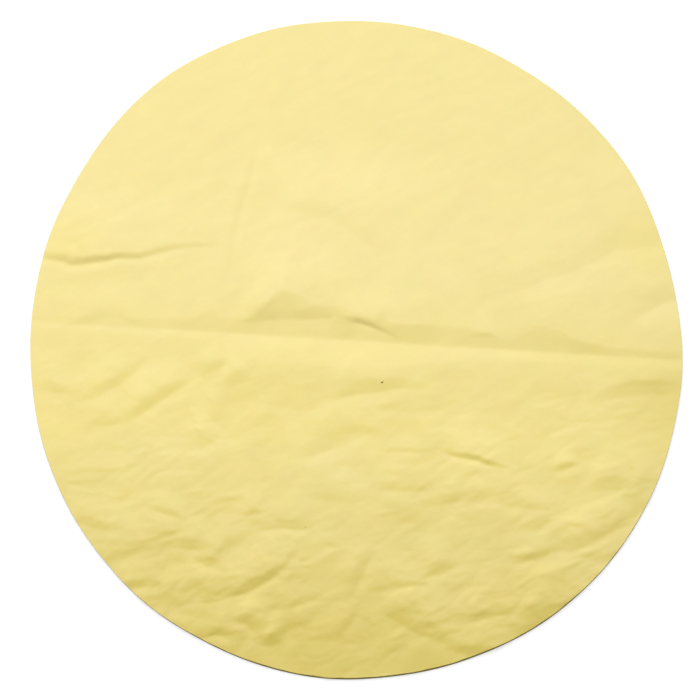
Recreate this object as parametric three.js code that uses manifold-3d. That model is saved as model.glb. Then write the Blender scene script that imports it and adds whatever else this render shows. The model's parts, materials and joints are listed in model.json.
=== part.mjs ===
// A potter's chamois: a round of thin, soft leather that smooths the rim of a pot on the wheel.
// It lies open on the bench, and the fold that it was packed in still shows as a straight valley across it.
// The leather is one sheet. The halves on either side of the fold are solids of their own, because they turn about it.
// Millimetres, +Z up, the bench at z = 0, the origin under the middle of the round.
// +X runs along the fold, and +Y from the wrinkled near half to the smooth far half.
import * as THREE from "three";
import { mergeVertices } from "three/addons/utils/BufferGeometryUtils.js";
import Module from "manifold-3d";

// The round cut
const DIAMETER = 200;
const THICKNESS = 0.8;

// The unevenness of a rim cut by hand: waves round the rim, how far each swings out, and where a crest of it lies
const RIM_WAVES = [
  { count: 2, swing: 0.7, crestDeg: 113 },
  { count: 3, swing: 0.3, crestDeg: -12 },
  { count: 4, swing: 0.3, crestDeg: 45 },
  { count: 5, swing: 0.2, crestDeg: -24 },
];
const RIM_POINTS = 144;

// The fold lies a little beyond the round's middle, and the halves keep clear of each other there
const FOLD_FROM_MIDDLE = 2.9;
const FOLD_GAP = 0.3;

// The facets of the sheet are longer along the fold than across it, because the ridges run that way
const FACET_ALONG = 9;
const FACET_ACROSS = 3.7;

// A ridge rises from nothing over this much of its length, at both ends
const RIDGE_END = 12;

// The leather's ridges. A crest's points go from -X to +X, each with its place along the fold and its distance from it.
// From its crest the leather drops over the near run to a sharp crease, and eases down over the far run.
const FAR_RIDGES = [
  {
    name: "crease in from the left rim",
    crest: [[-112, 21], [-87, 21], [-67, 24.5], [-41, 28]],
    height: 0.9,
    nearRun: 2.8,
    farRun: 12,
  },
  {
    name: "left lip of the fold",
    crest: [[-63, 3.5], [-40, 3], [-26, 4]],
    height: 0.6,
    nearRun: 3,
    farRun: 10,
  },
  {
    name: "hump over the fold",
    crest: [[-36, 4.5], [-24, 13.5], [-5, 9.5], [5, 7.5], [14, 3]],
    height: 1.3,
    nearRun: 8,
    farRun: 14,
  },
  {
    name: "middle lip of the fold",
    crest: [[5, 5], [40, 6.5], [54, 8], [66, 6.5]],
    height: 0.9,
    nearRun: 6,
    farRun: 14,
  },
  {
    name: "right lip of the fold",
    crest: [[56, 4], [86, 3], [112, 3]],
    height: 0.6,
    nearRun: 3.4,
    farRun: 10,
  },
];
const NEAR_RIDGES = [
  {
    name: "ridge beside the fold",
    crest: [[-42, -6], [-31, -8.5], [2, -10], [20, -8.5], [44, -2.5]],
    height: 0.9,
    nearRun: 7,
    farRun: 8,
  },
  {
    name: "upper left wrinkle",
    crest: [[-86, -21], [-75, -15.5], [-62, -5]],
    height: 0.6,
    nearRun: 4,
    farRun: 7,
  },
  {
    name: "left wrinkle",
    crest: [[-77, -27], [-66, -22.5], [-47, -10.5]],
    height: 0.9,
    nearRun: 4.5,
    farRun: 8,
  },
  {
    name: "right rim wrinkle",
    crest: [[75, -9.5], [87, -6], [112, -2]],
    height: 0.9,
    nearRun: 4.6,
    farRun: 7,
  },
  {
    name: "middle crease",
    crest: [[24, -30], [38, -32], [50, -34.5]],
    height: 0.8,
    nearRun: 2.6,
    farRun: 12,
  },
  {
    name: "lower left rim wrinkle",
    crest: [[-80, -73], [-62, -64.5], [-46, -57]],
    height: 0.9,
    nearRun: 4,
    farRun: 8,
  },
  {
    name: "lower left crease",
    crest: [[-41, -79], [-32, -76.5], [-20, -68], [-13, -63.5]],
    height: 1.3,
    nearRun: 3.6,
    farRun: 10,
  },
  {
    name: "lower middle wrinkle",
    crest: [[7, -74], [25, -68.5], [35, -63.5]],
    height: 0.9,
    nearRun: 3.4,
    farRun: 8,
  },
  {
    name: "lower right crease",
    crest: [[49, -64], [59, -58], [68, -55], [90, -42]],
    height: 1.2,
    nearRun: 4.6,
    farRun: 12,
  },
  {
    name: "lower right wrinkle",
    crest: [[30, -81], [42, -78.5], [55, -75]],
    height: 1,
    nearRun: 3.4,
    farRun: 8,
  },
  {
    name: "bottom wrinkle",
    crest: [[-25, -91], [-16, -87.5], [0, -78]],
    height: 0.9,
    nearRun: 3.4,
    farRun: 8,
  },
  {
    name: "bottom right rim wrinkle",
    crest: [[28, -90], [39, -90], [50, -86.5], [67, -75]],
    height: 1.1,
    nearRun: 3.4,
    farRun: 8,
  },
];

// Paler on the far half, which lies smooth, and deeper where the near half is crumpled
const FAR_COLOUR = 0xf6e6a4;
const NEAR_COLOUR = 0xe9d48f;
const SUEDE_ROUGHNESS = 0.95;

const wasm = await Module();
wasm.setup();

// A closed three.js geometry as a solid that can be cut.
function solidFrom(geometry) {
  const bare = new THREE.BufferGeometry().setAttribute("position", geometry.getAttribute("position"));
  bare.setIndex(geometry.getIndex());
  const merged = mergeVertices(bare);
  const mesh = new wasm.Mesh({
    numProp: 3,
    vertProperties: merged.getAttribute("position").array,
    triVerts: new Uint32Array(merged.getIndex().array),
  });
  return new wasm.Manifold(mesh);
}

// A cut solid as a three.js geometry.
function geometryFrom(solid) {
  const mesh = solid.getMesh();
  const geometry = new THREE.BufferGeometry();
  geometry.setAttribute("position", new THREE.BufferAttribute(mesh.vertProperties, mesh.numProp));
  geometry.setIndex(new THREE.BufferAttribute(mesh.triVerts, 1));
  geometry.computeVertexNormals();
  return geometry;
}

// How high one ridge lifts the sheet, as a function of a point on the bench.
function liftOf(ridge) {
  const corners = ridge.crest.map(([along, across]) => new THREE.Vector3(along, across + FOLD_FROM_MIDDLE, 0));
  const spans = corners.slice(1).map((end, i) => new THREE.Line3(corners[i], end));
  const length = spans.reduce((sum, span) => sum + span.distance(), 0);
  const foot = new THREE.Vector3();
  return (point) => {
    let distance = Infinity;
    let fromStart = 0;
    let onNearSide = false;
    let passed = 0;
    for (const span of spans) {
      const share = span.closestPointToPointParameter(point, true);
      span.at(share, foot);
      if (foot.distanceTo(point) < distance) {
        distance = foot.distanceTo(point);
        fromStart = passed + share * span.distance();
        onNearSide = point.y < foot.y;
      }
      passed += span.distance();
    }
    const nearDrop = Math.min(distance / ridge.nearRun, 1) ** 2;
    const farDrop = THREE.MathUtils.smoothstep(distance, 0, ridge.farRun);
    const fromEnd = Math.min(fromStart, length - fromStart);
    const swell = THREE.MathUtils.smoothstep(fromEnd, 0, RIDGE_END);
    return ridge.height * swell * (1 - (onNearSide ? nearDrop : farDrop));
  };
}

const ridges = [...FAR_RIDGES, ...NEAR_RIDGES];
const lifts = ridges.map(liftOf);

// The height of the leather's underside over the bench.
function undersideAt(point) {
  return lifts.reduce((sum, lift) => sum + lift(point), 0);
}

// The rim's distance from the middle at an angle from +X.
function rimRadius(angle) {
  const radians = THREE.MathUtils.degToRad;
  const swings = RIM_WAVES.map(({ count, swing, crestDeg }) => swing * Math.cos(count * (angle - radians(crestDeg))));
  return swings.reduce((sum, swing) => sum + swing, DIAMETER / 2);
}

// The round of the rim, tall enough to cut through every ridge.
function rimCutter() {
  const corners = Array.from({ length: RIM_POINTS }, (_, i) => {
    const angle = (i / RIM_POINTS) * 2 * Math.PI;
    return new THREE.Vector2(Math.cos(angle), Math.sin(angle)).multiplyScalar(rimRadius(angle));
  });
  const overshoot = THICKNESS;
  const tallest = ridges.reduce((sum, { height }) => sum + height, THICKNESS);
  const round = new THREE.ExtrudeGeometry(new THREE.Shape(corners), {
    depth: tallest + 2 * overshoot,
    bevelEnabled: false,
  });
  return solidFrom(round.translate(0, 0, -overshoot));
}

const cutter = rimCutter();
const reach = RIM_WAVES.reduce((sum, { swing }) => sum + swing, DIAMETER / 2) + THICKNESS;

// One half of the sheet, from nearY to farY: a slab raised over the ridges and cut to the rim.
function half(name, nearY, farY, color) {
  const columns = Math.round((2 * reach) / FACET_ALONG);
  const rows = Math.round((farY - nearY) / FACET_ACROSS);
  const slab = new THREE.BoxGeometry(2 * reach, farY - nearY, THICKNESS, columns, rows, 1);
  slab.translate(0, (nearY + farY) / 2, THICKNESS / 2);
  const places = slab.getAttribute("position");
  for (let i = 0; i < places.count; i++) {
    const onBench = new THREE.Vector3(places.getX(i), places.getY(i), 0);
    places.setZ(i, places.getZ(i) + undersideAt(onBench));
  }
  const suede = new THREE.MeshStandardMaterial({ color, roughness: SUEDE_ROUGHNESS, metalness: 0 });
  const mesh = new THREE.Mesh(geometryFrom(solidFrom(slab).intersect(cutter)), suede);
  mesh.name = name;
  return mesh;
}

const chamois = new THREE.Group();
chamois.add(half("near_half", -reach, FOLD_FROM_MIDDLE - FOLD_GAP / 2, NEAR_COLOUR));
chamois.add(half("far_half", FOLD_FROM_MIDDLE + FOLD_GAP / 2, reach, FAR_COLOUR));

export default chamois;
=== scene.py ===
import json
import math

import bpy
import numpy as np
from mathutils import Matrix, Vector, noise
from mathutils.geometry import delaunay_2d_cdt


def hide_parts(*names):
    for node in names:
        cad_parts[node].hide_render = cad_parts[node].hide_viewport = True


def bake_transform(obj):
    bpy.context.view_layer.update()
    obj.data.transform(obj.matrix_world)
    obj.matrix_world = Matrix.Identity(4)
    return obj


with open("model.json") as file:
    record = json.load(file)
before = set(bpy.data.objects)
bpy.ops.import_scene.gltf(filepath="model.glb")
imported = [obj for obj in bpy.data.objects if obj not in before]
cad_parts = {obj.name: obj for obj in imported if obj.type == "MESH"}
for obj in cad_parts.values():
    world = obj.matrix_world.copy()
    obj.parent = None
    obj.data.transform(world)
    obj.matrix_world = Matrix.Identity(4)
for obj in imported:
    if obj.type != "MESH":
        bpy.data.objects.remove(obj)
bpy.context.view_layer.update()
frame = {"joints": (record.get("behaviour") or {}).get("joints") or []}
scene = bpy.context.scene
scene.view_settings.view_transform = "Standard"

# The leather is worked out in millimetres and goes into its meshes in metres
mm = 0.001
foldAt = frame["joints"][0]["pos_m"][1] / mm


# Camera, straight over the sheet and turned a little, so that the fold runs down to the right.
# The view has its width at the height of the leather
overhead = {
    "aim": (-1.7, -0.05),
    "height": 1001,
    "leatherHeight": 1,
    "viewWidth": 213,
    "turnDeg": 3.45,
    "sensor": 36,
    "clipEnd": 20000,
}


def makeCamera():
    data = bpy.data.cameras.new("overhead")
    distance = overhead["height"] - overhead["leatherHeight"]
    data.sensor_width = overhead["sensor"]
    data.lens = overhead["sensor"] * distance / overhead["viewWidth"]
    data.clip_end = overhead["clipEnd"] * mm
    camera = bpy.data.objects.new("overhead", data)
    camera.location = [length * mm for length in (*overhead["aim"], overhead["height"])]
    camera.rotation_euler = (0, 0, math.radians(overhead["turnDeg"]))
    scene.collection.objects.link(camera)
    scene.camera = camera


makeCamera()
print("camera made")


# The round of leather. Rim waves are how many go round, how far each swings, and where a crest lies.
# The edge is cut on a slant, from the underside up, as distances in from the rim and heights.
# The slant is full at the near rim, and away from there the edge is nearly upright
leather = {
    "diameter": 200,
    "thickness": 0.8,
    "rimWaves": [
        (2, 0.7, 113), (3, 0.3, -12), (4, 0.3, 45), (5, 0.2, -24),
        (8, 0.15, -5.5), (9, 0.07, 0), (11, 0.1, 4.5), (14, 0.05, 4), (20, 0.05, 0),
    ],
    "edge": [
        (0.14, 0), (0.03, 0.04), (0, 0.12), (0.2, 0.45),
        (0.38, 0.7), (0.46, 0.77), (0.58, 0.8), (0.66, 0.8),
    ],
    "slant": {"least": 0.2, "fullAtDeg": -77, "reachDeg": 68, "uneven": 0.5, "wave": 5},
    "rimSettles": {"share": 0.25, "within": 9},
    "meander": [(9, 0.5), (4, 0.28), (2.4, 0.14)],  # each wave's length, and how far it shifts a line
    "meanderLeast": 0.3,
    "uneven": 0.8,
    "seed": 11,
    "ringPoints": 640,
    "topStep": (0.78, 0.5),  # between points along the fold, and between rows
    "underStep": (2.4, 1.6),
    "rimClear": 0.6,  # of a row, kept free inside the ring
}
noise.seed_set(leather["seed"])  # without a seed this noise differs from run to run

# Slack from 0, taut, to about 1. It grows from the fold to the near rim, and is greater at the left
slackness = {
    "far": 0.12, "near": 0.3, "pastFold": 14, "fullAt": 86,
    "left": 0.11, "leftOf": -25, "leftRun": 25, "leftFade": 60,
}

# A bank's curve, and how much the foot of its valley is rounded
bankForm = {"curve": 1.4, "valleyRound": 0.3}

# The banks of the fold along its length:
# place, then the width and lift of the far bank and of the near one
foldBanks = [
    (-100, 1.5, 0.05, 1.5, 0.04),
    (-70, 2.5, 0.11, 2, 0.08),
    (-58.5, 2.8, 0.15, 2, 0.1),
    (-56, 3.4, 0.24, 2, 0.1),
    (-49, 3.6, 0.27, 2.2, 0.12),
    (-46.5, 6, 0.36, 2.5, 0.12),
    (-44, 6.8, 0.4, 3.5, 0.15),
    (-41.5, 4.2, 0.25, 5.5, 0.2),
    (-36, 4.6, 0.36, 7.5, 0.4),
    (-31, 4.6, 0.4, 8, 0.5),
    (-29.5, 7.5, 0.5, 8, 0.5),
    (-25, 12.6, 0.74, 8, 0.55),
    (-22.5, 13.7, 0.8, 8, 0.55),
    (-19, 12.9, 0.74, 8, 0.55),
    (-14, 11, 0.55, 8, 0.5),
    (-10, 9, 0.45, 8, 0.48),
    (-7, 5.6, 0.5, 8, 0.46),
    (-2.5, 5, 0.5, 8, 0.44),
    (1, 7, 0.42, 8, 0.42),
    (6, 6.5, 0.45, 7.5, 0.38),
    (13, 5.5, 0.7, 7, 0.35),
    (20, 5.8, 0.64, 6, 0.3),
    (26, 5.8, 0.44, 5, 0.28),
    (33, 5.5, 0.46, 4.5, 0.26),
    (41, 4.8, 0.42, 3.5, 0.25),
    (44.5, 2.6, 0.2, 3, 0.25),
    (50, 5, 0.35, 3, 0.27),
    (56, 7.6, 0.46, 3, 0.28),
    (61, 6.6, 0.44, 3, 0.24),
    (66, 4.2, 0.44, 3, 0.21),
    (72, 3, 0.4, 3, 0.18),
    (78, 2.3, 0.24, 3, 0.17),
    (87, 2.1, 0.2, 3, 0.19),
    (100, 1.9, 0.2, 3, 0.2),
]
foldForm = {"farEase": 40, "nearEase": 14, "farCurve": 1.12, "samples": 9}

# Creases by the line of their valley, as places along the fold and distances from it.
# The bank on the line's left lifts over its width and eases down again, and the lip does so on its right.
# For a line from -X to +X the left is the far side
creases = {
    # On the far half
    "left rim": {"line": [(-106, 19.5), (-94.5, 19), (-90, 18.5), (-88.5, 17.5), (-83.5, 18),
                          (-79.5, 19), (-76.5, 19.5), (-74.5, 20.5), (-66, 21)],
                 "lift": 0.55, "bank": 2.4, "lip": 0.1, "ease": 30},
    "left rim tail": {"line": [(-88, 18), (-74.5, 20.5), (-67.5, 21), (-64, 22), (-58, 24),
                               (-53.5, 25), (-42, 26.5)],
                      "lift": 0.28, "bank": 1.8, "lip": 0.05, "ease": 20},
    "lip crease": {"line": [(34, 3), (37, 3.3), (39.5, 3.7), (42.5, 3.5)],
                   "lift": 0.13, "bank": 1, "lip": 0, "ease": 6},
    "right lip": {"line": [(46, 0.5), (53, 3.5), (59, 3), (66, 0.5)],
                  "lift": 0.1, "bank": 5, "lip": 0},
    "far right": {"line": [(33, 12), (51, 19.5), (66, 25.5), (77, 32), (105, 37)],
                  "lift": 0.24, "bank": 7, "lip": 0.12, "ease": 26},
    "far right rim": {"line": [(82, 10), (94, 17.5), (105, 22)],
                      "lift": 0.4, "bank": 6, "lip": 0.2},
    "crossing": {"line": [(-40, 10), (-39.5, 19), (-38.9, 25), (-37.4, 36), (-35.2, 45),
                          (-33.6, 55), (-33, 63)],
                 "lift": 0.17, "bank": 2.2, "lip": 0.08},
    "crossing top": {"line": [(-33.4, 56), (-32.6, 68), (-32, 80), (-31.5, 90)],
                     "lift": 0.05, "bank": 2, "lip": 0.03},
    "far left": {"line": [(-78, 57), (-75, 47), (-72, 37)], "lift": 0.05, "bank": 2.4, "lip": 0.08},
    "far middle": {"line": [(-30, 35.5), (-22.5, 38), (-14, 38), (-5.5, 33.9), (2.5, 29),
                            (9.5, 28)],
                   "lift": 0.14, "bank": 4, "lip": 0.03, "ease": 20},
    # Along the fold and over its hump
    "left arc": {"line": [(-90, -3), (-78, 2), (-72, 2.5), (-62, -2)],
                 "lift": 0.17, "bank": 3.2, "lip": 0},
    "hump foot": {"line": [(-34.5, 3.2), (-29.5, 4), (-24, 5)], "lift": 0.16, "bank": 3, "lip": 0},
    "hump side": {"line": [(-35, 2), (-31.5, 4), (-28.5, 7), (-26, 9.5), (-23.5, 11.5)],
                  "lift": 0.2, "bank": 2.2, "lip": 0, "ease": 8},
    "hump": {"line": [(-33, 3), (-29, 4), (-23, 5), (-17, 5.2), (-11.5, 5.6)],
             "lift": 0.6, "bank": 8.5, "lip": 0, "ease": 30},
    "hump band": {"line": [(-20.5, 5.6), (-16, 5.6), (-10.5, 6), (-3.5, 6.4), (1, 5.5)],
                  "lift": 0.42, "bank": 4, "lip": 0.03, "ease": 20},
    "hump knot": {"line": [(-7, 5), (-3.5, 5), (0.5, 5), (4, 4.5), (7, 3.4)],
                  "lift": 0.34, "bank": 2.4, "lip": 0, "ease": 9},
    "hump crease": {"line": [(-4, 6.4), (-1.5, 6), (1.6, 5.2), (6.6, 3.5), (11, 2), (13, 1.2)],
                    "lift": 0.32, "bank": 1.2, "lip": 0.04, "ease": 14},
    # Below the fold
    "near second": {"line": [(-9, -19.5), (-2, -17.5), (6, -15.5), (14.5, -14), (23.5, -14)],
                    "lift": 0.4, "bank": 4.5, "lip": 0.12},
    "near right": {"line": [(20, -12), (28, -11), (38, -9.5)], "lift": 0.12, "bank": 4, "lip": 0},
    "near wave": {"line": [(5, -20.5), (15, -21), (24, -20), (33.5, -17.5)],
                  "lift": 0.14, "bank": 3, "lip": 0.03},
    "near third": {"line": [(-9, -31), (0, -28), (11.5, -29)], "lift": 0.26, "bank": 3.6, "lip": 0},
    # At the left
    "upper left": {"line": [(-86, -24.5), (-79, -22.5), (-74.5, -20), (-70, -17), (-65.5, -13),
                            (-62, -8.5)],
                   "lift": 0.28, "bank": 3.4, "lip": 0.05, "ease": 9},
    "left": {"line": [(-69, -29.5), (-64.5, -27), (-60.5, -23.5), (-57, -21), (-50.5, -16.5),
                      (-47.5, -14.5)],
             "lift": 0.4, "bank": 3.4, "lip": 0.08, "ease": 9},
    "left foot": {"line": [(-82, -31), (-73, -30.2), (-65.5, -29.5)],
                  "lift": 0.14, "bank": 2.6, "lip": 0.03},
    "left edge": {"line": [(-104, -20.5), (-98, -21), (-90, -21.5), (-84, -22)],
                  "lift": 0.18, "bank": 3.4, "lip": 0},
    "left patch": {"line": [(-32, -28.6), (-26, -28), (-19.5, -26.4)],
                   "lift": 0.14, "bank": 4, "lip": 0},
    "curl top": {"line": [(-39, -17), (-36, -16), (-33, -14.8), (-30, -12.5)],
                 "lift": 0.24, "bank": 4.4, "lip": 0, "ease": 5},
    "left short": {"line": [(-45.5, -15), (-42, -12), (-38, -8)],
                   "lift": 0.24, "bank": 3, "lip": 0, "ease": 7},
    "left curl": {"line": [(-47, -29.5), (-39.5, -26.5), (-35, -20.5), (-32.5, -14), (-30.5, -7)],
                  "lift": 0.16, "bank": 5, "lip": 0, "ease": 6},
    "left low": {"line": [(-49, -36), (-44, -35.5), (-38.5, -30)],
                 "lift": 0.34, "bank": 4, "lip": 0.1},
    "left band": {"line": [(-88, -46.5), (-79.5, -45.5), (-71.5, -44.5), (-62.5, -42)],
                  "lift": 0.08, "bank": 1.4, "lip": 0.03, "ease": 5},
    # In the middle
    "middle": {"line": [(28, -32.4), (33.8, -33.7), (38.7, -34.1), (41.2, -35), (43.7, -35.7),
                        (46.5, -36.1), (49.5, -36.2)],
               "lift": 0.5, "bank": 1.6, "lip": 0.13, "ease": 9},
    "middle tail": {"line": [(8, -33.5), (17, -33), (26.5, -32.5)],
                    "lift": 0.14, "bank": 1.2, "lip": 0.03},
    "middle bow": {"line": [(-18.5, -38), (-7, -34.5), (4.5, -28.5)],
                   "lift": 0.18, "bank": 4.5, "lip": 0.18},
    "middle glow": {"line": [(-13.5, -48.5), (-6.5, -49.5), (2, -49.5), (8.5, -47)],
                    "lift": 0.18, "bank": 4, "lip": 0.05, "ease": 8},
    "middle low": {"line": [(8.5, -46), (17, -45), (25, -44.5)],
                   "lift": 0.25, "bank": 3.4, "lip": 0.2},
    "middle lower": {"line": [(21, -50.5), (27.5, -48.5), (36, -47), (46, -44)],
                     "lift": 0.26, "bank": 3.2, "lip": 0.05},
    # At the right
    "right pair": {"line": [(43, -47), (50.5, -47.6), (57, -48), (62.5, -48)],
                   "lift": 0.28, "bank": 2.6, "lip": 0.04},
    "right pair low": {"line": [(51, -56), (59.5, -53.5), (69, -47)],
                       "lift": 0.26, "bank": 3.2, "lip": 0.2},
    "right spot": {"line": [(62, -36.6), (66, -35.6), (70, -34)],
                   "lift": 0.35, "bank": 2.2, "lip": 0.12, "ease": 5},
    "right patch": {"line": [(73.5, -42.5), (80.5, -41), (87, -39)],
                    "lift": 0.42, "bank": 4.6, "lip": 0, "ease": 7},
    "right rim patch": {"line": [(84, -43.5), (90.5, -41.5), (97.5, -36)],
                        "lift": 0.55, "bank": 4.5, "lip": 0},
    "right rim": {"line": [(71, -15.5), (78.5, -13.5), (83.5, -12), (90, -11), (96, -11),
                           (105.5, -9.5)],
                  "lift": 0.38, "bank": 4.8, "lip": 0.03},
    "right rim top": {"line": [(78, -10.2), (86, -8.6), (94, -8), (106, -7.4)],
                      "lift": 0.13, "bank": 1.7, "lip": 0, "ease": 6},
    "right inner": {"line": [(57, -16), (66.5, -13), (74, -12)],
                    "lift": 0.13, "bank": 2.6, "lip": 0},
    # At the lower right
    "lower right start": {"line": [(51.5, -65.6), (54.4, -64.8), (58, -63.6), (62, -62),
                                   (67, -59.4)],
                          "lift": 0.32, "bank": 2.4, "lip": 0.08, "ease": 6},
    "lower right": {"line": [(60, -62.2), (66, -60.2), (71, -59.5), (75, -57.7), (79.5, -54.8),
                             (84, -51.8), (88.5, -48.2), (97, -41.5)],
                    "lift": 0.42, "bank": 4, "lip": 0.12, "ease": 11},
    "lower right brow": {"line": [(70, -59), (80, -54.5), (88, -49.5), (99, -41)],
                         "lift": 0.2, "bank": 7, "lip": 0, "ease": 8},
    "lower right rim": {"line": [(66.5, -68.5), (74.5, -64.5), (84, -59)],
                        "lift": 0.13, "bank": 3.6, "lip": 0},
    "bottom right": {"line": [(54.5, -88.5), (63, -82.5), (69, -77.6), (76.7, -71.4)],
                     "lift": 0.95, "bank": 4.6, "lip": 0},
    "lower right wrinkle": {"line": [(34, -85), (38, -84.2), (43, -83), (48, -81.6), (53, -80),
                                     (57.5, -78)],
                            "lift": 0.42, "bank": 3.2, "lip": 0.06},
    "bottom rim": {"line": [(32, -92.3), (40, -93.5), (46.5, -93.5), (55, -91)],
                   "lift": 0.7, "bank": 2.8, "lip": 0},
    # At the bottom
    "lower middle": {"line": [(8.5, -76.6), (13, -75.4), (18.5, -74.3), (24, -73.3), (27, -73.3)],
                     "lift": 0.36, "bank": 2.2, "lip": 0.09},
    "lower middle right": {"line": [(22.5, -71.5), (30, -69.5), (36.5, -65.5)],
                           "lift": 0.42, "bank": 3.2, "lip": 0.06},
    "lower middle bow": {"line": [(10.5, -82.2), (17, -84.9), (23, -87.4), (28.5, -89.6),
                                  (34, -92)],
                         "lift": 0.68, "bank": 5.2, "lip": 0.12, "ease": 13},
    "stem": {"line": [(3.5, -80.5), (5.5, -73.5), (8, -67), (10.5, -62)],
             "lift": 0.4, "bank": 3.2, "lip": 0.2, "ease": 6},
    "stem foot": {"line": [(1, -90.5), (3, -87), (5, -83), (6.5, -79)],
                  "lift": 0.42, "bank": 2.6, "lip": 0.05, "ease": 6},
    "bottom dash": {"line": [(-9.5, -93), (-3, -92), (4.5, -92.5)],
                    "lift": 0.16, "bank": 2.6, "lip": 0.03},
    "bottom notch": {"line": [(-26.8, -92.6), (-22.9, -94.6), (-20.2, -94.8), (-17.5, -93),
                              (-13.7, -90.2)],
                     "lift": 0.6, "bank": 3.8, "lip": 0, "ease": 6},
    "bottom": {"line": [(-22, -92), (-17.5, -90.6), (-12.5, -88.3), (-7.5, -86)],
               "lift": 0.3, "bank": 2.4, "lip": 0.03},
    "bottom seam": {"line": [(-31.5, -98), (-29, -94.5), (-26.5, -90.5)],
                    "lift": 0.3, "bank": 3.5, "lip": 0.26, "ease": 6},
    "bottom tick": {"line": [(15, -94.6), (20, -93.6), (25, -93)],
                    "lift": 0.09, "bank": 1.8, "lip": 0.03},
    # At the lower left
    "lower long": {"line": [(-30, -86), (-23, -84.6), (-17, -82.8), (-10.5, -80.4), (-3.5, -77)],
                   "lift": 0.25, "bank": 2.2, "lip": 0.1, "ease": 4},
    "lower left": {"line": [(-42, -83), (-35, -80.8), (-30.5, -79.6), (-27.5, -78), (-25, -76.5),
                            (-22, -74.5), (-18.7, -72), (-16.7, -69.5), (-14.5, -66.5), (-13, -64)],
                   "lift": 0.78, "bank": 3.2, "lip": 0.32, "ease": 11},
    "lower left end": {"line": [(-64, -86), (-57.5, -85), (-48.5, -84), (-41, -82.3), (-36, -81)],
                       "lift": 0.4, "bank": 6, "lip": 0.08, "ease": 7},
    "lower left pair": {"line": [(-40, -92.6), (-36, -92), (-32.5, -91.5), (-29, -91.2)],
                        "lift": 0.36, "bank": 2.2, "lip": 0.06},
    "lower left knot": {"line": [(-33, -86.8), (-29.5, -88.4), (-26.5, -90), (-23.5, -91.8)],
                        "lift": 0.58, "bank": 4.2, "lip": 0.05, "ease": 6},
    "lower left heel": {"line": [(-51, -85.8), (-46, -86.6), (-41.5, -87), (-37, -87.2)],
                        "lift": 0.14, "bank": 3.2, "lip": 0.24, "ease": 6},
    "lower left pair top": {"line": [(-41, -88.5), (-35, -88), (-29.5, -85.5)],
                            "lift": 0.14, "bank": 2.8, "lip": 0},
    "lower left rim": {"line": [(-82, -78), (-73.5, -73.3), (-67, -70.7), (-61, -68.5),
                                (-53.5, -65.3), (-49, -63)],
                       "lift": 0.5, "bank": 4.2, "lip": 0.05},
    "lower left rim top": {"line": [(-63, -66), (-57.5, -64.5), (-51.5, -62.5), (-44.5, -59.5)],
                           "lift": 0.22, "bank": 2.6, "lip": 0.02},
    "rim notch": {"line": [(-71, -81.8), (-63.5, -80), (-58.5, -78.7), (-53, -77.8)],
                  "lift": 0.48, "bank": 2.8, "lip": 0.24},
    "lower left dash": {"line": [(-54.5, -67), (-50, -66.8), (-46, -66.6), (-42, -66.3),
                                 (-38.5, -65.6)],
                        "lift": 0.4, "bank": 3, "lip": 0},
    "lower left dash top": {"line": [(-40.5, -69), (-37, -67.4), (-34, -65.2), (-30.5, -62.2),
                                     (-27, -59.4)],
                            "lift": 0.34, "bank": 2.8, "lip": 0},
    "lower left tick": {"line": [(-46.5, -68.5), (-41, -71.5), (-35, -72.5)],
                        "lift": 0.42, "bank": 3.2, "lip": 0.3, "ease": 6},
    "lower left top": {"line": [(-61, -55.5), (-54.5, -56.5), (-48, -58)],
                       "lift": 0.34, "bank": 2.4, "lip": 0.1, "ease": 5},
    "lower centre": {"line": [(-28, -59.5), (-18, -58.5), (-8.5, -58.5)],
                     "lift": 0.28, "bank": 3, "lip": 0.2},
    "lower centre dash": {"line": [(-32.5, -55.5), (-27.5, -55), (-23.5, -54)],
                          "lift": 0.22, "bank": 1.8, "lip": 0.08},
    "left rim notch": {"line": [(-88, -64), (-80.5, -61), (-74, -62.5), (-65.5, -61)],
                       "lift": 0.42, "bank": 3, "lip": 0},
}
creaseForm = {
    "ease": 3.2, "lipEase": 2.2,  # times the bank's width
    "endWidth": 0.45, "lipWidth": 0.8,  # shares of the bank's width
}


def rimRadius(angle):
    radius = np.full_like(angle, leather["diameter"] / 2)
    for count, swing, crestDeg in leather["rimWaves"]:
        radius += swing * np.cos(count * (angle - math.radians(crestDeg)))
    return radius


# How far in from the rim a place lies
def rimRoom(x, y):
    return rimRadius(np.arctan2(y, x)) - np.hypot(x, y)


# 1 at nought, 0 at one and beyond
def easeOff(t):
    t = np.clip(t, 0, 1)
    return 1 - t * t * (3 - 2 * t)


# A bank rises steeply out of the valley, rounds over by its curve and eases down
def bankShape(distance, width, ease, curve=bankForm["curve"]):
    valley = bankForm["valleyRound"]
    distance = np.hypot(distance, valley) - valley
    rise = 1 - (1 - np.clip(distance / width, 0, 1)) ** curve
    return rise * easeOff((distance - width) / ease)


# The banks at a place along the fold, which change smoothly from station to station
def foldStation(x):
    table = np.array(foldBanks, float)
    later = np.clip(np.searchsorted(table[:, 0], x), 1, len(table) - 1)
    before, after = table[later - 1], table[later]
    share = 1 - easeOff((x - before[:, 0]) / (after[:, 0] - before[:, 0]))
    return (before + (after - before) * share[:, None])[:, 1:]


# Beyond its crest a bank takes after a longer and longer stretch of the fold
def foldLift(x, across):
    far = across > 0
    distance = np.abs(across)
    own = foldStation(x)
    beyond = np.maximum(distance - np.where(far, own[:, 0], own[:, 2]), 0)
    reaches = np.linspace(-1, 1, foldForm["samples"])
    spread = np.mean([foldStation(x + reach * beyond) for reach in reaches], axis=0)
    farWidth, farTop, nearWidth, nearTop = spread.T
    farBank = farTop * bankShape(distance, farWidth, foldForm["farEase"], foldForm["farCurve"])
    nearBank = nearTop * bankShape(distance, nearWidth, foldForm["nearEase"])
    return np.where(far, farBank, nearBank)


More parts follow.
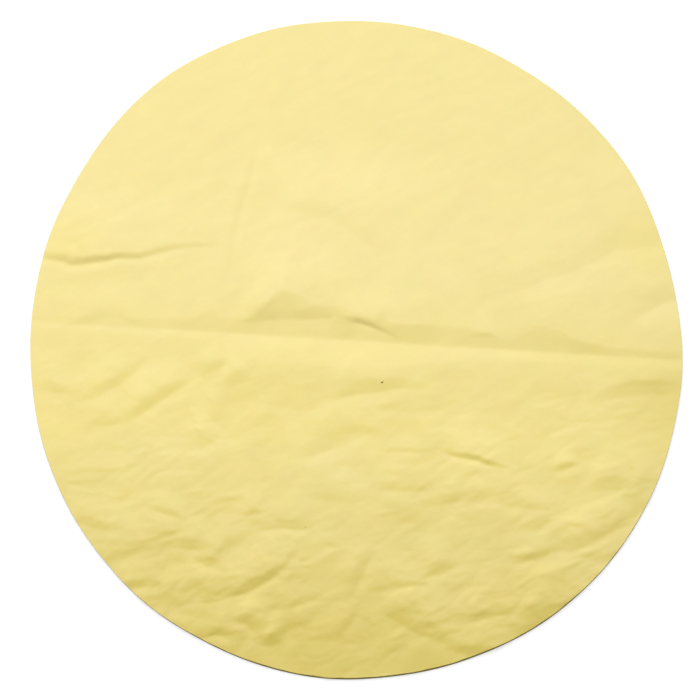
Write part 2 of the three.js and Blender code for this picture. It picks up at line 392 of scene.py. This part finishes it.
# How far each place is from a line, how much of the line it has passed, and if it lies to the left
def besideLine(x, y, line):
    corners = np.array(line, float)
    lengths = np.hypot(*np.diff(corners, axis=0).T)
    distance = np.full_like(x, np.inf)
    along = np.zeros_like(x)
    onLeft = np.zeros(x.shape, bool)
    passed = 0
    for start, end, length in zip(corners, corners[1:], lengths):
        step = (end - start) / length
        reach = np.clip((x - start[0]) * step[0] + (y - start[1]) * step[1], 0, length)
        offX = x - start[0] - reach * step[0]
        offY = y - start[1] - reach * step[1]
        gap = np.hypot(offX, offY)
        closer = gap < distance
        distance = np.where(closer, gap, distance)
        along = np.where(closer, passed + reach, along)
        onLeft = np.where(closer, step[0] * offY - step[1] * offX > 0, onLeft)
        passed += length
    return distance, along / passed, onLeft


# A crease is widest and highest halfway along
def creaseLift(x, y, crease):
    distance, along, onLeft = besideLine(x, y, crease["line"])
    swell = np.sin(np.pi * along)
    bank = crease["bank"]
    width = bank * (creaseForm["endWidth"] + (1 - creaseForm["endWidth"]) * swell)
    lipWidth = creaseForm["lipWidth"] * width
    rise = crease["lift"] * bankShape(distance, width, crease.get("ease", creaseForm["ease"] * bank))
    lip = crease["lip"] * bankShape(distance, lipWidth, creaseForm["lipEase"] * bank)
    return swell * np.where(onLeft, rise, lip)


def slackAt(x, across):
    near = slackness["near"] + (1 - slackness["near"]) * (1 - easeOff(-across / slackness["fullAt"]))
    leftward = 1 - easeOff((slackness["leftOf"] - x) / slackness["leftRun"])
    near = near + slackness["left"] * leftward * easeOff(-across / slackness["leftFade"])
    pastFold = 1 - easeOff(-across / slackness["pastFold"])
    return slackness["far"] + (near - slackness["far"]) * pastFold


# The sheet settles towards its rim
def rimHold(x, y):
    settles = leather["rimSettles"]
    return 1 - settles["share"] * easeOff(rimRoom(x, y) / settles["within"])


# Smooth noise that shifts every line off its true course, most where the leather is slack.
# It makes the banks uneven too
def meander(x, y):
    places = np.column_stack([x, y, np.zeros_like(x)])
    shift = np.zeros((len(x), 3))
    for wave, size in leather["meander"]:
        shift += size * np.array([noise.noise_vector(place) for place in (places / wave).tolist()])
    least = leather["meanderLeast"]
    swing = least + (1 - least) * slackAt(x, y - foldAt)
    share = 1 + leather["uneven"] * swing * shift[:, 2]
    return x + swing * shift[:, 0], y + swing * shift[:, 1], share


# How high the underside lies over the bench
def leatherLift(x, y):
    wanderX, wanderY, share = meander(x, y)
    lift = foldLift(x, y - foldAt)
    for crease in creases.values():
        lift = lift + share * creaseLift(wanderX, wanderY - foldAt, crease)
    return lift * rimHold(x, y)


# How much of its full slant the edge has, which the knife left uneven
def edgeSlant(angle):
    slant = leather["slant"]
    away = np.abs((np.degrees(angle) - slant["fullAtDeg"] + 180) % 360 - 180)
    compass = np.column_stack([np.cos(angle), np.sin(angle), np.zeros_like(angle)])
    steps = leather["diameter"] / 2 / slant["wave"] * compass
    wobble = np.array([noise.noise(step) for step in steps.tolist()])
    turned = easeOff(away / slant["reachDeg"]) * (1 + slant["uneven"] * wobble)
    return slant["least"] + (1 - slant["least"]) * np.clip(turned, 0, 1)


# A ring of points round the rim, anticlockwise
def ringPoints(inset):
    angle = np.linspace(0, 2 * np.pi, leather["ringPoints"], endpoint=False)
    radius = rimRadius(angle) - inset * edgeSlant(angle)
    return np.column_stack([radius * np.cos(angle), radius * np.sin(angle)])


# The flat cut as triangles: the ring, and staggered rows inside it, one of them on the fold
def flatCut(inset, stepX, stepY):
    ring = ringPoints(inset)
    reach = leather["diameter"] / 2 + stepX
    rows = []
    for row in range(math.floor((-reach - foldAt) / stepY), math.ceil((reach - foldAt) / stepY)):
        x = np.arange(-reach, reach, stepX) + row % 2 * stepX / 2
        rows.append(np.column_stack([x, np.full_like(x, foldAt + row * stepY)]))
    inner = np.concatenate(rows)
    inside = rimRoom(*inner.T) > inset + leather["rimClear"] * stepY
    points = [Vector(point) for point in np.concatenate([ring, inner[inside]]).tolist()]
    edges = [(i, (i + 1) % len(ring)) for i in range(len(ring))]
    onlyInside = 1
    mergeWithin = 1e-7
    made = delaunay_2d_cdt(points, edges, [], onlyInside, mergeWithin)
    return np.array([tuple(place) for place in made[0]]), np.array(made[2])


# One closed sheet: the underside, the top, and bands of triangles up the cut edge between them
def makeSheet():
    profile = leather["edge"]
    under, underFaces = flatCut(profile[0][0], *leather["underStep"])
    top, topFaces = flatCut(profile[-1][0], *leather["topStep"])
    flats = [under, top] + [ringPoints(inset) for inset, rise in profile[1:-1]]
    rises = [0, leather["thickness"]] + [rise for inset, rise in profile[1:-1]]
    starts = np.cumsum([0] + [len(flat) for flat in flats])
    faces = [underFaces[:, ::-1], topFaces + starts[1]]
    rings = [np.arange(leather["ringPoints"]) + starts[i] for i in (0, *range(2, len(flats)), 1)]
    for lower, upper in zip(rings, rings[1:]):
        after = np.roll(lower, -1)
        above = np.roll(upper, -1)
        faces += [np.column_stack([lower, after, above]), np.column_stack([lower, above, upper])]
    places = np.concatenate([
        np.column_stack([flat, leatherLift(*flat.T) + rise]) for flat, rise in zip(flats, rises)])
    data = bpy.data.meshes.new("chamois_sheet")
    data.from_pydata((places * mm).tolist(), [], np.concatenate(faces).tolist())
    data.polygons.foreach_set("use_smooth", np.ones(len(data.polygons), bool))

    # What the suede and the crumple go by
    corners = np.zeros(len(data.loops), np.int32)
    data.loops.foreach_get("vertex_index", corners)
    data.uv_layers.new(name="flatCut").data.foreach_set("uv", (places[corners, :2] * mm).ravel())
    slack = slackAt(places[:, 0], places[:, 1] - foldAt) * rimHold(*places[:, :2].T)
    rawEdge = np.zeros(len(places))
    rawEdge[starts[2]:] = 1
    for name, values in (("slack", slack), ("rawEdge", rawEdge)):
        data.attributes.new(name, "FLOAT", "POINT").data.foreach_set("value", values)
    return data


print("leather laid out")


# Node trees: a node with its settings, and its inputs given as values or as other nodes' outputs
def addNode(tree, kind, settings=None, **inputs):
    node = tree.nodes.new(kind)
    for name, value in (settings or {}).items():
        setattr(node, name, value)
    for name, value in inputs.items():
        number = name.removeprefix("in")
        socket = node.inputs[int(number) if number.isdigit() else name]
        if isinstance(value, bpy.types.NodeSocket):
            tree.links.new(value, socket)
        else:
            socket.default_value = value
    return node


def mathNode(tree, operation, *values):
    inputs = {f"in{i}": value for i, value in enumerate(values)}
    return addNode(tree, "ShaderNodeMath", {"operation": operation}, **inputs).outputs[0]


def vectorNode(tree, operation, *values):
    inputs = {f"in{i}": value for i, value in enumerate(values)}
    return addNode(tree, "ShaderNodeVectorMath", {"operation": operation}, **inputs).outputs[0]


def scaleNode(tree, vector, share):
    node = addNode(tree, "ShaderNodeVectorMath", {"operation": "SCALE"}, in0=vector, Scale=share)
    return node.outputs[0]


def lengthNode(tree, vector):
    node = addNode(tree, "ShaderNodeVectorMath", {"operation": "LENGTH"}, in0=vector)
    return node.outputs["Value"]


def turnNode(tree, vector, angle):
    node = addNode(tree, "ShaderNodeVectorRotate", {"rotation_type": "Z_AXIS"},
                   Vector=vector, Angle=angle)
    return node.outputs[0]


def noiseNode(tree, vector, scale, detail, roughness=0.5):
    return addNode(tree, "ShaderNodeTexNoise",
                   Vector=vector, Scale=scale, Detail=detail, Roughness=roughness)


def rangeNode(tree, kind, value, start, end, first=0.0, last=1.0):
    node = addNode(tree, "ShaderNodeMapRange", {"interpolation_type": kind},
                   in0=value, in1=start, in2=end, in3=first, in4=last)
    return node.outputs[0]


# A colour with as much of a tone in it as the share says
def tintNode(tree, colour, share, tone):
    change = vectorNode(tree, "MULTIPLY_ADD", share, [level - 1 for level in tone], (1, 1, 1))
    return vectorNode(tree, "MULTIPLY", colour, change)


# Suede by the flat cut's own coordinates, so that it stays on the leather when the sheet is folded.
# Tones run over their span from near to far, and clouds shift them; their darkening towards the near rim
# is partly painted shade. Scales are per metre.
# Patches are a place, a reach each way and a tone. Flecks are a place, a radius, a strength and a turn
suede = {
    "finish": {
        "Roughness": 0.92, "Specular IOR Level": 0.12, "Sheen Weight": 0.12, "Sheen Roughness": 0.45,
    },
    "tones": [
        (0.0, (0.79, 0.645, 0.185)), (0.22, (0.855, 0.715, 0.26)), (0.38, (0.915, 0.77, 0.29)),
        (0.63, (0.905, 0.768, 0.333)), (1.0, (0.87, 0.742, 0.32)),
    ],
    "toneSpan": (-75, 125),
    "level": 0.9275,
    "cloud": {"scale": 38, "shift": 50, "depth": 0.05},
    "streak": {"scale": (90, 260, 1), "turnDeg": 30, "depth": 0.08},
    "grain": {"scale": 900, "depth": 0.014},
    "relief": {"strength": 0.18, "height": 0.2, "grain": 0.6},
    "mottle": {"scale": 170, "tone": (0.06, 0.06, 0.09)},
    # Painted shade: the deeper tone that slopes facing the near rim take on
    "paintedShadingTone": (0.995, 0.98, 0.82),
    # Painted shade: how much the cut edge darkens where it faces the near rim, away from the light
    "edgeShade": 0.44,
    "patches": [
        (97, -9, 20, 20, (0.93, 0.92, 0.8)), (88, 38, 16, 15, (0.98, 0.98, 0.87)),
        (-88, 27, 14, 11, (1, 0.99, 0.9)), (-3, 53, 38, 10, (1.04, 1.04, 1.08)),
        (-4, -37, 20, 10, (1.03, 1.05, 1.14)), (-13, -57, 17, 9, (1.04, 1.06, 1.13)),
        (-55, -34, 28, 10, (1.02, 1.03, 1.11)), (-4, -85, 18, 10, (0.97, 0.95, 0.87)),
        (58, -69, 18, 9, (0.96, 0.94, 0.85)), (76, 3, 26, 9, (0.98, 0.98, 0.93)),
        (84, -34, 20, 14, (0.97, 0.97, 0.94)), (-72, -68, 14, 11, (0.96, 0.96, 0.92)),
    ],
    "patchFade": 1.3,
    "flecks": [(8.63, -9.3, 0.5, 0.9, 22), (-12, -54.7, 0.26, 0.4, 0)],
    "fleckFade": (0.5, 1.2),
    "fleckStretch": 1.9,
    "fleckTone": (0.12, 0.08, 0.01),
}


# Tone from the far rim to the near one, with clouds in it: partly the leather's own deeper yellow, partly
# painted shade of light falling off towards the near rim, and a little darker at the far rim to even out
# the lamp's stronger light there
def spanToneAndShade(tree, cut, cloud):
    across = addNode(tree, "ShaderNodeSeparateXYZ", in0=cut).outputs[1]
    drift = mathNode(tree, "MULTIPLY_ADD", cloud, suede["cloud"]["shift"] * mm, across)
    start, end = suede["toneSpan"]
    span = rangeNode(tree, "LINEAR", drift, start * mm, end * mm)
    ramp = addNode(tree, "ShaderNodeValToRGB", in0=span)
    stops = ramp.color_ramp.elements
    for at, tone in suede["tones"][1:-1]:
        stops.new(at)
    for stop, (at, tone) in zip(stops, suede["tones"]):
        stop.color = (*tone, 1)
    return ramp.outputs[0]


# Brushed streaks, finer across the brushing than along it
def brushedStreak(tree, cut):
    turned = turnNode(tree, cut, math.radians(-suede["streak"]["turnDeg"]))
    stretched = vectorNode(tree, "MULTIPLY", turned, suede["streak"]["scale"])
    return noiseNode(tree, stretched, scale=1.0, detail=3.0, roughness=0.55).outputs[0]


# How light the nap is, by its clouds, grain and streaks
def napLevel(tree, cloud, streak, grain):
    level = mathNode(tree, "MULTIPLY_ADD", cloud, suede["cloud"]["depth"], suede["level"])
    level = mathNode(tree, "MULTIPLY_ADD", grain, suede["grain"]["depth"], level)
    return mathNode(tree, "MULTIPLY_ADD", streak, suede["streak"]["depth"], level)


# The hue wanders a little from place to place
def mottled(tree, cut, colour):
    tone = suede["mottle"]["tone"]
    wander = noiseNode(tree, cut, suede["mottle"]["scale"], detail=3.0, roughness=0.6).outputs["Color"]
    change = vectorNode(tree, "MULTIPLY_ADD", wander, tone, [1 - level / 2 for level in tone])
    return vectorNode(tree, "MULTIPLY", colour, change)


# Paler and deeper places here and there; the deep one at the right rim is painted shade where a crease's
# bank runs out to the rim
def patched(tree, cut, colour):
    for x, y, wide, tall, tone in suede["patches"]:
        off = vectorNode(tree, "SUBTRACT", cut, (x * mm, y * mm, 0))
        away = lengthNode(tree, vectorNode(tree, "DIVIDE", off, (wide * mm, tall * mm, 1)))
        share = rangeNode(tree, "SMOOTHSTEP", away, 0.0, suede["patchFade"], 1.0, 0.0)
        colour = tintNode(tree, colour, share, tone)
    return colour


# Painted shade: deeper and darker where the surface slopes towards the near rim, away from the light,
# with a little painted light on slopes facing the far rim, and darkest on the cut edge where it faces the
# near rim
def withPaintedShading(tree, colour):
    paintedShading = addNode(tree, "ShaderNodeAttribute", {"attribute_name": "paintedShading"}).outputs["Fac"]
    raw = addNode(tree, "ShaderNodeAttribute", {"attribute_name": "rawEdge"}).outputs["Fac"]
    # Painted shade on the cut edge where it faces the near rim
    shadedEdge = mathNode(tree, "MULTIPLY", raw, mathNode(tree, "MAXIMUM", paintedShading, 0.0))
    shade = mathNode(tree, "MULTIPLY_ADD", shadedEdge, -suede["edgeShade"], 1.0)
    return scaleNode(tree, tintNode(tree, colour, paintedShading, suede["paintedShadingTone"]), shade)


# A fleck here and there, longer than it is wide
def flecked(tree, cut, colour):
    for x, y, radius, strength, turnDeg in suede["flecks"]:
        core, rim = [share * radius * mm for share in suede["fleckFade"]]
        off = vectorNode(tree, "SUBTRACT", cut, (x * mm, y * mm, 0))
        turned = turnNode(tree, off, math.radians(-turnDeg))
        away = lengthNode(tree, vectorNode(tree, "MULTIPLY", turned, (1, suede["fleckStretch"], 1)))
        share = rangeNode(tree, "SMOOTHSTEP", away, core, rim, strength, 0.0)
        mixed = addNode(tree, "ShaderNodeMix", {"data_type": "RGBA"},
                        in0=share, in6=colour, in7=(*suede["fleckTone"], 1))
        colour = mixed.outputs[2]
    return colour


def makeSuede():
    material = bpy.data.materials.new("chamoisSuede")
    material.use_nodes = True
    tree = material.node_tree
    shader = tree.nodes["Principled BSDF"]
    for name, value in suede["finish"].items():
        shader.inputs[name].default_value = value
    cut = addNode(tree, "ShaderNodeUVMap", {"uv_map": "flatCut"}).outputs[0]
    cloud = noiseNode(tree, cut, suede["cloud"]["scale"], detail=4.0, roughness=0.6).outputs[0]
    streak = brushedStreak(tree, cut)
    grain = noiseNode(tree, cut, suede["grain"]["scale"], detail=3.0, roughness=0.7).outputs[0]
    colour = scaleNode(tree, spanToneAndShade(tree, cut, cloud), napLevel(tree, cloud, streak, grain))
    colour = patched(tree, cut, mottled(tree, cut, colour))
    colour = flecked(tree, cut, withPaintedShading(tree, colour))
    tree.links.new(colour, shader.inputs["Base Color"])

    # The grain stands up a little
    relief = suede["relief"]
    height = mathNode(tree, "MULTIPLY_ADD", grain, relief["grain"], streak)
    bump = addNode(tree, "ShaderNodeBump",
                   Strength=relief["strength"], Distance=relief["height"] * mm, Height=height)
    tree.links.new(bump.outputs[0], shader.inputs["Normal"])
    return material


suedeMaterial = makeSuede()
print("suede made")


# The crumple that no one crease explains: pleats and domes of slack leather between creases,
# laid along one direction. These are the inputs of its tree
crumple = {
    "Depth": 0.33 * mm,
    "Spacing": 8 * mm,
    "Stretch": 2.0,
    "Lay": math.radians(27),
    "Warp": 0.55,
    "Seed": 4,
    "FullShadingSlope": 0.13,  # the slope that gets the full painted shade
}

# What stays inside the tree. Pleats and domes have a scale and a share of the height each
crumpleForm = {
    "pleats": [(0.8, 1.0), (1.7, 0.6), (3.6, 0.32)],
    "domes": [(1.0, 0.35), (2.2, 0.18)],
    "domeReach": 0.8,
    "domeSmooth": 0.05,
    "flatBelow": 0.15,
    "wander": 1.1,
    "patch": {"scale": 0.22, "calmAt": 0.35, "busyAt": 0.65, "calm": 0.5, "busy": 1.25},
    "paintedShading": {"least": -0.35, "most": 1.3},
    "shadingBySlack": {"taut": 0.5, "perSlack": 1.2},
}


# A place in the crumple's own spacing, turned to its lay, and the same place warped
def crumplePlaces(tree, given):
    position = addNode(tree, "GeometryNodeInputPosition").outputs[0]
    lay = turnNode(tree, position, mathNode(tree, "MULTIPLY", given["Lay"], -1.0))
    parts = addNode(tree, "ShaderNodeSeparateXYZ", in0=lay).outputs
    spacingAlong = mathNode(tree, "MULTIPLY", given["Spacing"], given["Stretch"])
    along = mathNode(tree, "DIVIDE", parts[0], spacingAlong)
    across = mathNode(tree, "DIVIDE", parts[1], given["Spacing"])
    place = addNode(tree, "ShaderNodeCombineXYZ", in0=along, in1=across, in2=given["Seed"]).outputs[0]
    wander = noiseNode(tree, place, crumpleForm["wander"], detail=2.0).outputs["Color"]
    centred = vectorNode(tree, "SUBTRACT", wander, (0.5, 0.5, 0.5))
    push = vectorNode(tree, "MULTIPLY", centred, (2.0, 2.0, 0.0))
    return place, vectorNode(tree, "ADD", place, scaleNode(tree, push, given["Warp"]))


# Pleats and domes added up, deeper in some patches, and only as far as the leather is slack
def crumpleHeight(tree, given, slack):
    place, warped = crumplePlaces(tree, given)
    height = 0.0
    for scale, share in crumpleForm["pleats"]:
        wave = noiseNode(tree, warped, scale, detail=0.0).outputs[0]
        pinch = mathNode(tree, "ABSOLUTE", mathNode(tree, "MULTIPLY_ADD", wave, 2.0, -1.0))
        height = mathNode(tree, "MULTIPLY_ADD", pinch, share, height)
    for scale, share in crumpleForm["domes"]:
        cells = addNode(tree, "ShaderNodeTexVoronoi",
                        {"feature": "SMOOTH_F1", "voronoi_dimensions": "3D"},
                        Vector=warped, Scale=scale, Smoothness=crumpleForm["domeSmooth"])
        dome = mathNode(tree, "SUBTRACT", crumpleForm["domeReach"], cells.outputs["Distance"])
        height = mathNode(tree, "MULTIPLY_ADD", dome, share, height)
    height = mathNode(tree, "SUBTRACT", height, crumpleForm["flatBelow"])
    raised = mathNode(tree, "MAXIMUM", height, 0.0)
    patch = crumpleForm["patch"]
    clouds = noiseNode(tree, place, patch["scale"], detail=1.0).outputs[0]
    busy = rangeNode(tree, "LINEAR", clouds,
                     patch["calmAt"], patch["busyAt"], patch["calm"], patch["busy"])
    depth = mathNode(tree, "MULTIPLY", busy, mathNode(tree, "MULTIPLY", given["Depth"], slack))
    return mathNode(tree, "MULTIPLY", raised, depth)


# How far the surface slopes towards the near rim, away from the light, as the share of painted shade; it
# shows less where the leather is taut
def paintedSlopeShading(tree, given, slack):
    normal = addNode(tree, "GeometryNodeInputNormal").outputs[0]
    facing = addNode(tree, "ShaderNodeSeparateXYZ", in0=normal).outputs[1]
    slope = mathNode(tree, "DIVIDE", facing, mathNode(tree, "MULTIPLY", given["FullShadingSlope"], -1.0))
    limits = crumpleForm["paintedShading"]
    paintedShading = addNode(tree, "ShaderNodeClamp",
                   Value=slope, Min=limits["least"], Max=limits["most"]).outputs[0]
    shadingBySlack = crumpleForm["shadingBySlack"]
    shadingShare = mathNode(tree, "MULTIPLY_ADD", slack, shadingBySlack["perSlack"], shadingBySlack["taut"])
    return mathNode(tree, "MULTIPLY", paintedShading, mathNode(tree, "MINIMUM", shadingShare, 1.0))


def makeCrumple(material):
    tree = bpy.data.node_groups.new("crumple", "GeometryNodeTree")
    tree.interface.new_socket("Geometry", in_out="INPUT", socket_type="NodeSocketGeometry")
    for name, value in crumple.items():
        kind = "NodeSocketInt" if isinstance(value, int) else "NodeSocketFloat"
        tree.interface.new_socket(name, in_out="INPUT", socket_type=kind)
    tree.interface.new_socket("Geometry", in_out="OUTPUT", socket_type="NodeSocketGeometry")
    given = addNode(tree, "NodeGroupInput").outputs
    slack = addNode(tree, "GeometryNodeInputNamedAttribute",
                    {"data_type": "FLOAT"}, Name="slack").outputs[0]
    offset = addNode(tree, "ShaderNodeCombineXYZ", in2=crumpleHeight(tree, given, slack)).outputs[0]
    moved = addNode(tree, "GeometryNodeSetPosition",
                    Geometry=given["Geometry"], Offset=offset).outputs[0]
    # Keeps each point's share of painted shade for the suede
    marked = addNode(tree, "GeometryNodeStoreNamedAttribute",
                     {"data_type": "FLOAT", "domain": "POINT"},
                     Geometry=moved, Name="paintedShading", Value=paintedSlopeShading(tree, given, slack)).outputs[0]
    whole = addNode(tree, "GeometryNodeRealizeInstances", Geometry=marked).outputs[0]
    dressed = addNode(tree, "GeometryNodeSetMaterial", Geometry=whole, Material=material).outputs[0]
    addNode(tree, "NodeGroupOutput", in0=dressed)
    return tree


# Runs a tree on a mesh and keeps what comes out as plain geometry
def bakeTree(name, data, tree, values):
    obj = bpy.data.objects.new(name, data)
    scene.collection.objects.link(obj)
    modifier = obj.modifiers.new("tree", "NODES")
    modifier.node_group = tree
    for item in tree.interface.items_tree:
        if item.in_out == "INPUT" and item.name in values:
            modifier[item.identifier] = values[item.name]
    graph = bpy.context.evaluated_depsgraph_get()
    made = bpy.data.meshes.new_from_object(obj.evaluated_get(graph), depsgraph=graph)
    obj.modifiers.remove(modifier)
    obj.data = made
    made.name = name
    return obj


chamois = bakeTree("chamois_sheet", makeSheet(), makeCrumple(suedeMaterial), crumple)
print("chamois made,", sum(len(p.vertices) - 2 for p in chamois.data.polygons), "triangles")

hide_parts("near_half", "far_half")
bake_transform(chamois)
print("chamois joined to the frame")


# 1 on a ray that shows the background itself, straight on, in a reflection or through glass
def seenRays(tree):
    rays = addNode(tree, "ShaderNodeLightPath").outputs
    passedOn = mathNode(tree, "MAXIMUM", rays["Is Glossy Ray"], rays["Is Transmission Ray"])
    return mathNode(tree, "MAXIMUM", rays["Is Camera Ray"], passedOn)


# A plain white floor, in metres, that keeps the shadow under the rim
floorValues = {"size": 6, "albedo": 0.44, "glow": 0.65, "shadowReach": 0.13, "shadowEnd": 0.2}


def makeFloor():
    data = bpy.data.meshes.new("floor")
    side = floorValues["size"] / 2
    corners = [(-side, -side, 0), (side, -side, 0), (side, side, 0), (-side, side, 0)]
    data.from_pydata(corners, [], [(0, 1, 2, 3)])
    floor = bpy.data.objects.new("floor", data)
    scene.collection.objects.link(floor)
    material = bpy.data.materials.new("paleFloor")
    material.use_nodes = True
    tree = material.node_tree
    tree.nodes.clear()
    seen = seenRays(tree)
    away = lengthNode(tree, addNode(tree, "ShaderNodeTexCoord").outputs["Object"])
    plain = rangeNode(tree, "SMOOTHSTEP", away, floorValues["shadowReach"], floorValues["shadowEnd"])
    matte = addNode(tree, "ShaderNodeBsdfDiffuse", Color=(*[floorValues["albedo"]] * 3, 1)).outputs[0]
    glowing = mathNode(tree, "MULTIPLY", seen, floorValues["glow"])
    glow = addNode(tree, "ShaderNodeEmission", Strength=glowing).outputs[0]
    near = addNode(tree, "ShaderNodeAddShader", in0=matte, in1=glow).outputs[0]
    far = addNode(tree, "ShaderNodeEmission", Strength=1.0).outputs[0]
    share = mathNode(tree, "MULTIPLY", plain, seen)
    mixed = addNode(tree, "ShaderNodeMixShader", in0=share, in1=near, in2=far).outputs[0]
    addNode(tree, "ShaderNodeOutputMaterial", in0=mixed)
    data.materials.append(material)


# White where it is seen, with a weaker fill for what it lights
studio = {"white": (1, 1, 1, 1), "fill": 0.334}


def makeWorld():
    world = bpy.data.worlds.new("studio")
    world.use_nodes = True
    tree = world.node_tree
    tree.nodes.clear()
    fill = addNode(tree, "ShaderNodeBackground",
                   Color=studio["white"], Strength=studio["fill"]).outputs[0]
    white = addNode(tree, "ShaderNodeBackground", Color=studio["white"], Strength=1.0).outputs[0]
    mixed = addNode(tree, "ShaderNodeMixShader", in0=seenRays(tree), in1=fill, in2=white).outputs[0]
    addNode(tree, "ShaderNodeOutputWorld", in0=mixed)
    scene.world = world


# The light falls from beyond the far rim, softly, so each slope that faces the near rim is darker.
# Place and size are in metres
keyLight = {"place": (-0.28, 0.92, 0.92), "size": 1.0, "watts": 19.05}


def makeKey():
    data = bpy.data.lights.new("key", "AREA")
    data.shape = "DISK"
    data.size = keyLight["size"]
    data.energy = keyLight["watts"]
    lamp = bpy.data.objects.new("key", data)
    lamp.location = keyLight["place"]
    lamp.rotation_euler = Vector(keyLight["place"]).to_track_quat("Z", "Y").to_euler()
    scene.collection.objects.link(lamp)


makeFloor()
makeWorld()
makeKey()
print("floor and light made")
